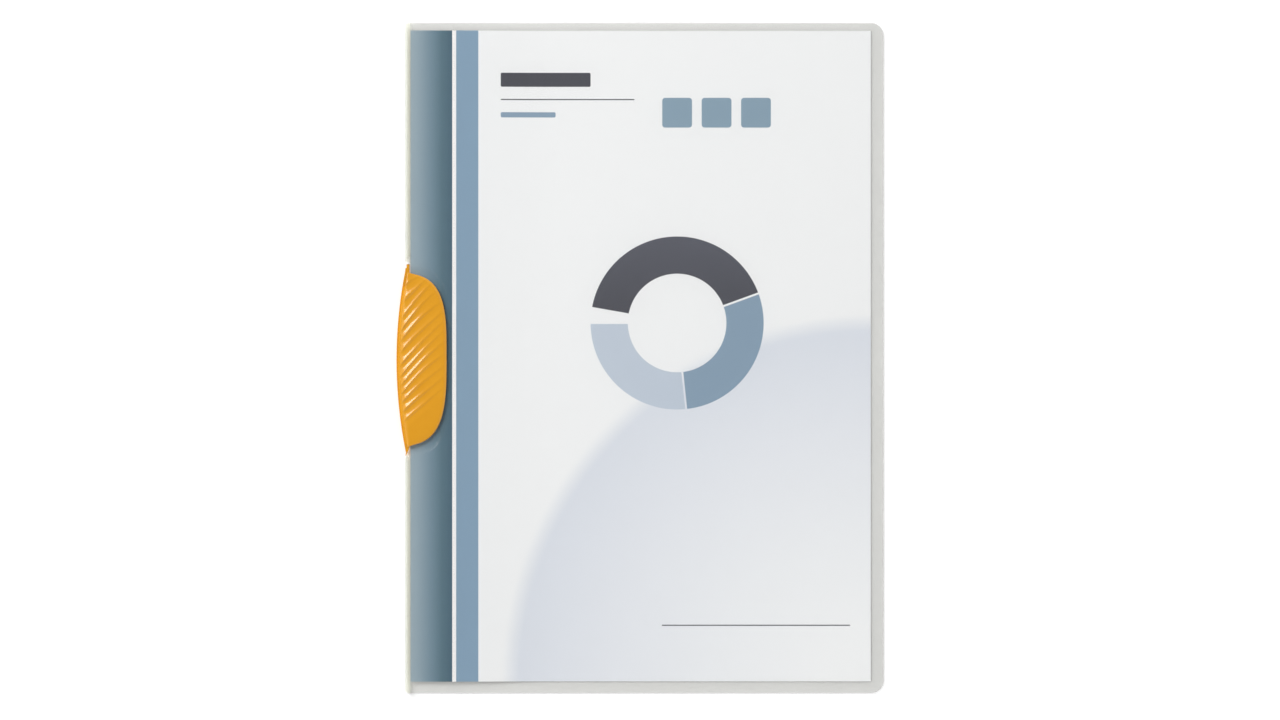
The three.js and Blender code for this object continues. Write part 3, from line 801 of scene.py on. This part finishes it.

# %% [markdown]
# ## Frosted polypropylene
# The back cover and the spine are the same plastic, rolled with a fine matt grain. The eye sees a
# grey-white, cloudy sheet that lets the table and the page shine through. It is made as a mix of
# a see-through shader and a matt body that also glows from behind. The grain is about 0.2 mm on
# the real sheet and is drawn at 0.4 mm, so that it shows. Bent sharply, polypropylene turns
# whitish and dense, so the sheet is whiter along its spine. That whiter, denser band is also
# painted light: it stands in for the highlight along the fold and lifts the shade in the gap
# between the spine and the page.

# %% Make the frosted sheet
FROST_GRAIN = 0.4 * MM
FROST_CLOUD = 60 * MM
LIT_THROUGH = 0.5  # share of the matt body's light that comes from behind
WHITE_FROM_SPINE = 2.9
WHITE_FADE = 1.0
WHITE_COVER = 0.5  # how much denser the sheet is there
WHITE_LIT_THROUGH = 0.8

material, tree = start_material("frosted_polypropylene")
place = add_node(tree, "TexCoord")
grain = add_node(tree, "TexNoise", {"Vector": place.outputs["Object"],
                                    "Scale": 1 / FROST_GRAIN, "Detail": 2.0})
cloud = add_node(tree, "TexNoise", {"Vector": place.outputs["Object"],
                                    "Scale": 1 / FROST_CLOUD, "Detail": 2.0})
bump = add_node(tree, "Bump", {"Height": grain.outputs["Fac"], "Distance": 0.02 * MM,
                               "Strength": 0.6})
shade = add_node(tree, "Mix", {"Factor": cloud.outputs["Fac"], "A": linear("#ecece9"),
                               "B": linear("#f4f4f1")}, data_type="RGBA")
spot = add_node(tree, "SeparateXYZ", {0: place.outputs["Object"]})
# Whiter band along the spine: real stress whitening, plus a painted highlight on the fold and
# painted light over the shade beside the page.
fold_white_and_highlight = add_node(tree, "MapRange", {"Value": spot.outputs["X"],
                                   "From Min": (SPINE_AT + WHITE_FROM_SPINE) * MM,
                                   "From Max": (SPINE_AT + WHITE_FROM_SPINE - WHITE_FADE) * MM})
shade = add_node(tree, "Mix", {"Factor": fold_white_and_highlight.outputs[0], "A": shade.outputs["Result"],
                               "B": linear("#fefef9")}, data_type="RGBA")
skin = add_node(tree, "BsdfPrincipled", {"Base Color": shade.outputs["Result"], "IOR": PP_IOR,
                                         "Roughness": 0.45, "Normal": bump.outputs[0]})
glowing = add_node(tree, "BsdfTranslucent", {"Color": shade.outputs["Result"]})
through = add_node(tree, "MapRange", {"Value": fold_white_and_highlight.outputs[0], "To Min": LIT_THROUGH,
                                      "To Max": WHITE_LIT_THROUGH})
body = add_node(tree, "MixShader", {0: through.outputs[0], 1: skin.outputs[0],
                                    2: glowing.outputs[0]})
clear = add_node(tree, "BsdfTransparent", {"Color": linear("#fcfcfc")})
cover = add_node(tree, "MapRange", {"Value": grain.outputs["Fac"], "To Min": 0.34,
                                    "To Max": 0.46})
cover = add_node(tree, "Math", {0: fold_white_and_highlight.outputs[0], 1: WHITE_COVER, 2: cover.outputs[0]},
                 operation="MULTIPLY_ADD")
sheet = add_node(tree, "MixShader", {0: cover.outputs[0], 1: clear.outputs[0],
                                     2: body.outputs[0]})
frosted = finish_material(material, sheet.outputs[0])

# %% [markdown]
# ## Moulded clip plastic
# The clip is moulded ABS, coloured right through in a warm yellow-orange, from a polished tool. The
# eye sees a strong even colour with sharp but slightly spread highlights. ABS has an IOR near
# 1.54, and a roughness of 0.17 to 0.27 gives that spread. The tool's polish leaves waves of about
# a millimetre, and where the plastic flowed the colour drifts very slightly.

# %% Make the clip plastic
ABS_IOR = 1.54
FLOW_WIDTH = 9 * MM
POLISH_WAVE = 0.9 * MM

material, tree = start_material("moulded_yellow_abs")
place = add_node(tree, "TexCoord")
flow = add_node(tree, "TexNoise", {"Vector": place.outputs["Object"], "Scale": 1 / FLOW_WIDTH,
                                   "Detail": 3.0, "Distortion": 0.6})
polish = add_node(tree, "TexNoise", {"Vector": place.outputs["Object"],
                                     "Scale": 1 / POLISH_WAVE, "Detail": 3.0})
tone = add_node(tree, "Mix", {"Factor": flow.outputs["Fac"], "A": linear("#d89417"),
                              "B": linear("#df9d1f")}, data_type="RGBA")
rough = add_node(tree, "MapRange", {"Value": polish.outputs["Fac"], "To Min": 0.17,
                                    "To Max": 0.27})
bump = add_node(tree, "Bump", {"Height": polish.outputs["Fac"], "Distance": 0.02 * MM,
                               "Strength": 0.35})
plastic = add_node(tree, "BsdfPrincipled", {"Base Color": tone.outputs["Result"], "IOR": ABS_IOR,
                                            "Roughness": rough.outputs[0],
                                            "Normal": bump.outputs[0]})
clip_plastic = finish_material(material, plastic.outputs[0])

# %% [markdown]
# ## The printed page
# The page is smooth white paper with an offset print. Its design is flat areas and soft blends: a
# teal-grey blend and a slate stripe beside the spine, and on the field a ring in three parts, two
# rules, a row of small squares and a pale blue corner. Each shape is a distance sum in nodes: how
# far a point lies outside a block or a ring, turned into ink with an edge a tenth of a millimetre
# soft. Everything is placed in millimetres from the spine and from the folder's middle. The print
# is on the front only, and the back of the page is bare paper. Paper's fibres are finer than its
# thickness and are drawn half a millimetre wide, so that they show.

# %% Measure the page in millimetres
INK_EDGE = 0.1

material, tree = start_material("offset_printed_paper")
place = add_node(tree, "TexCoord")
page = add_node(tree, "VectorMath", {0: place.outputs["Object"], 1: (1 / MM, 1 / MM, 0),
                                     2: (-SPINE_AT, 0, 0)}, operation="MULTIPLY_ADD")
parts = add_node(tree, "SeparateXYZ", {0: page.outputs[0]})
across, upward = parts.outputs["X"], parts.outputs["Y"]


def edge_of(distance):
    """Ink where a distance is below zero."""
    return add_node(tree, "MapRange", {"Value": distance, "From Min": INK_EDGE,
                                       "From Max": -INK_EDGE}).outputs[0]


def block(middle, size, corner=0.3):
    """Ink in a block with rounded corners."""
    reach = (size[0] / 2 - corner, size[1] / 2 - corner, 0)
    away = add_node(tree, "VectorMath", {0: page.outputs[0], 1: (*middle, 0)},
                    operation="SUBTRACT")
    away = add_node(tree, "VectorMath", {0: away.outputs[0]}, operation="ABSOLUTE")
    away = add_node(tree, "VectorMath", {0: away.outputs[0], 1: reach}, operation="SUBTRACT")
    away = add_node(tree, "VectorMath", {0: away.outputs[0], 1: (0, 0, 0)}, operation="MAXIMUM")
    away = add_node(tree, "VectorMath", {0: away.outputs[0]}, operation="LENGTH")
    return edge_of(add_node(tree, "Math", {0: away.outputs["Value"], 1: corner},
                            operation="SUBTRACT").outputs[0])


def printed(under, ink, colour):
    """One more ink over what is printed already. The ink's colour may be a link."""
    over = linear(colour) if isinstance(colour, str) else colour
    return add_node(tree, "Mix", {"Factor": ink, "A": under, "B": over},
                    data_type="RGBA").outputs["Result"]


def blend_of(value, start, finish, stops):
    """Colours evenly spread along a value."""
    share = add_node(tree, "MapRange", {"Value": value, "From Min": start, "From Max": finish})
    ramp = add_node(tree, "ValToRGB", {0: share.outputs[0]})
    ramp.color_ramp.elements[1].position = 1
    for i in range(len(stops) - 2):
        ramp.color_ramp.elements.new((i + 1) / (len(stops) - 1))
    for element, colour in zip(ramp.color_ramp.elements, stops):
        element.color = linear(colour)
    return ramp.outputs["Color"]


# %% Print the field, the corner and the stripes
PAGE_MIDDLE = 0.9
PAGE_HEIGHT = 300  # the inks run past both ends of the page
PAGE_CORNER = (212, -148, 0)
CORNER_REACH = 164
CORNER_SOFTNESS = 4
TEAL_FROM, TEAL_TO = 2.4, 21.4
TEAL_MIDDLE, TEAL_WIDTH = 11, 21
WHITE_MIDDLE, WHITE_WIDTH = 22.3, 1.8
SLATE_MIDDLE, SLATE_WIDTH = 28.25, 10.1


def stripe(middle, width):
    return block((middle, PAGE_MIDDLE), (width, PAGE_HEIGHT))


corner_away = add_node(tree, "VectorMath", {0: page.outputs[0], 1: PAGE_CORNER},
                       operation="DISTANCE").outputs["Value"]
corner_edge = add_node(tree, "MapRange", {"Value": corner_away,
                                          "From Min": CORNER_REACH + CORNER_SOFTNESS,
                                          "From Max": CORNER_REACH - CORNER_SOFTNESS}).outputs[0]
corner_blue = blend_of(corner_away, 20, 165, ["#fbfcfc", "#f4f6f8", "#ebeef3", "#dfe4ec"])
teal = blend_of(across, TEAL_FROM, TEAL_TO,
                ["#99abb5", "#889eaa", "#6c8897", "#4b6d7c", "#355a6d"])
colour = printed(linear("#f8f9f9"), corner_edge, corner_blue)
colour = printed(colour, stripe(TEAL_MIDDLE, TEAL_WIDTH), teal)
colour = printed(colour, stripe(WHITE_MIDDLE, WHITE_WIDTH), "#fffdfb")
colour = printed(colour, stripe(SLATE_MIDDLE, SLATE_WIDTH), "#82a0b8")
print("stripes and corner in", len(tree.nodes), "nodes")

# %% Print the ring
RING_AT = (124, 16)
RING_RADIUS = 31
RING_WIDTH = 17
RING_PARTS = 0.9  # gap between its parts

from_ring = add_node(tree, "VectorMath", {0: page.outputs[0], 1: (*RING_AT, 0)},
                     operation="SUBTRACT")
ring_out = add_node(tree, "VectorMath", {0: from_ring.outputs[0]}, operation="LENGTH")
ring_off = add_node(tree, "Math", {0: ring_out.outputs["Value"], 1: RING_RADIUS},
                    operation="SUBTRACT")
ring_off = add_node(tree, "Math", {0: ring_off.outputs[0]}, operation="ABSOLUTE")
ring_off = add_node(tree, "Math", {0: ring_off.outputs[0], 1: RING_WIDTH / 2},
                    operation="SUBTRACT")
ring_ink = edge_of(ring_off.outputs[0])


def sector(middle, half_angle):
    """The ring's ink within an angle of a direction, less half a gap."""
    turn = Vector((math.cos(math.radians(middle)), math.sin(math.radians(middle)), 0))
    inks = []
    for side in (1, -1):
        tilt = math.radians(90 - half_angle) * side
        normal = Matrix.Rotation(tilt, 3, "Z") @ turn
        past = add_node(tree, "VectorMath", {0: from_ring.outputs[0], 1: normal},
                        operation="DOT_PRODUCT")
        inks.append(edge_of(add_node(tree, "Math", {0: RING_PARTS / 2, 1: past.outputs["Value"]},
                                     operation="SUBTRACT").outputs[0]))
    both = add_node(tree, "Math", {0: inks[0], 1: inks[1]}, operation="MULTIPLY")
    return add_node(tree, "Math", {0: both.outputs[0], 1: ring_ink},
                    operation="MULTIPLY").outputs[0]


graphite = blend_of(upward, -20, 52, ["#2b2b33", "#3a3b45", "#4d4f5b"])
colour = printed(colour, sector(95, 75), graphite)
colour = printed(colour, sector(-32, 52), "#869fb4")
colour = printed(colour, sector(-132, 48), "#c3cedb")
print("ring of radius", RING_RADIUS, "mm at", RING_AT)

# %% Print the rules and the squares
SQUARES_AT = [(124, 112), (142, 112), (160, 112)]
SQUARE = 13.6
SQUARE_CORNER = 1.4
RULE_CORNER = 0.6
FIBRE_WIDTH = 0.5 * MM

for middle, size, ink in [((74, 118), (61, 0.5), "#34343c"), ((160, -122), (86, 0.5), "#34343c"),
                          ((64, 127), (41, 6.4), "#3a3b45"), ((56, 111), (25, 2.4), "#869fb4")]:
    colour = printed(colour, block(middle, size, min(size[1] / 2, RULE_CORNER)), ink)
for middle in SQUARES_AT:
    colour = printed(colour, block(middle, (SQUARE, SQUARE), SQUARE_CORNER), "#86a0b2")

fibres = add_node(tree, "TexNoise", {"Vector": place.outputs["Object"],
                                     "Scale": 1 / FIBRE_WIDTH, "Detail": 4.0})
bump = add_node(tree, "Bump", {"Height": fibres.outputs["Fac"], "Distance": 0.01 * MM,
                               "Strength": 0.4})
surface = add_node(tree, "NewGeometry")
above = add_node(tree, "SeparateXYZ", {0: surface.outputs["Normal"]})
front = add_node(tree, "Math", {0: above.outputs["Z"], 1: 0.5}, operation="GREATER_THAN")
colour = add_node(tree, "Mix", {"Factor": front.outputs[0], "A": linear("#f3f3f1"), "B": colour},
                  data_type="RGBA").outputs["Result"]
paper = add_node(tree, "BsdfPrincipled", {"Base Color": colour, "Roughness": 0.6,
                                          "Normal": bump.outputs[0]})
printed_paper = finish_material(material, paper.outputs[0])

# %% [markdown]
# ## Everything in its place
# The pieces take their finishes and are tied to the bodies that move. The page and the front cover
# keep the solid model's own meshes, which have the right shape. The fine sheets and the clip stand
# for the solids that they replace.

# %% Dress the pieces and tie them to their bodies
def dress(piece, material):
    piece.data.materials.clear()
    piece.data.materials.append(material)


for piece, material, slot, body, node in [
        (binding_strip, clear_film, "clear_sheet", "folder", "back_cover_and_spine"),
        (back_cover, frosted, "frosted_sheet", "folder", "back_cover_and_spine"),
        (clip, clip_plastic, "clip_plastic", "clip", "clip")]:
    dress(piece, material)
    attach(piece, body)
    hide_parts(node)

dress(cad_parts["front_cover"], clear_film)
dress(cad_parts["title_sheet"], printed_paper)
dress(web, clear_film)
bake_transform(web)

# %% [markdown]
# ## The last measure
# The dressed folder has to fill the same box as the solid model. Both boxes are written down, so
# that they can be compared.

# %% Write both boxes and finish
visual_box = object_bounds()
for name, box in (("solid model", cad_box), ("dressed model", visual_box)):
    print(name, [round(1000 * c, 2) for corner in box for c in corner])
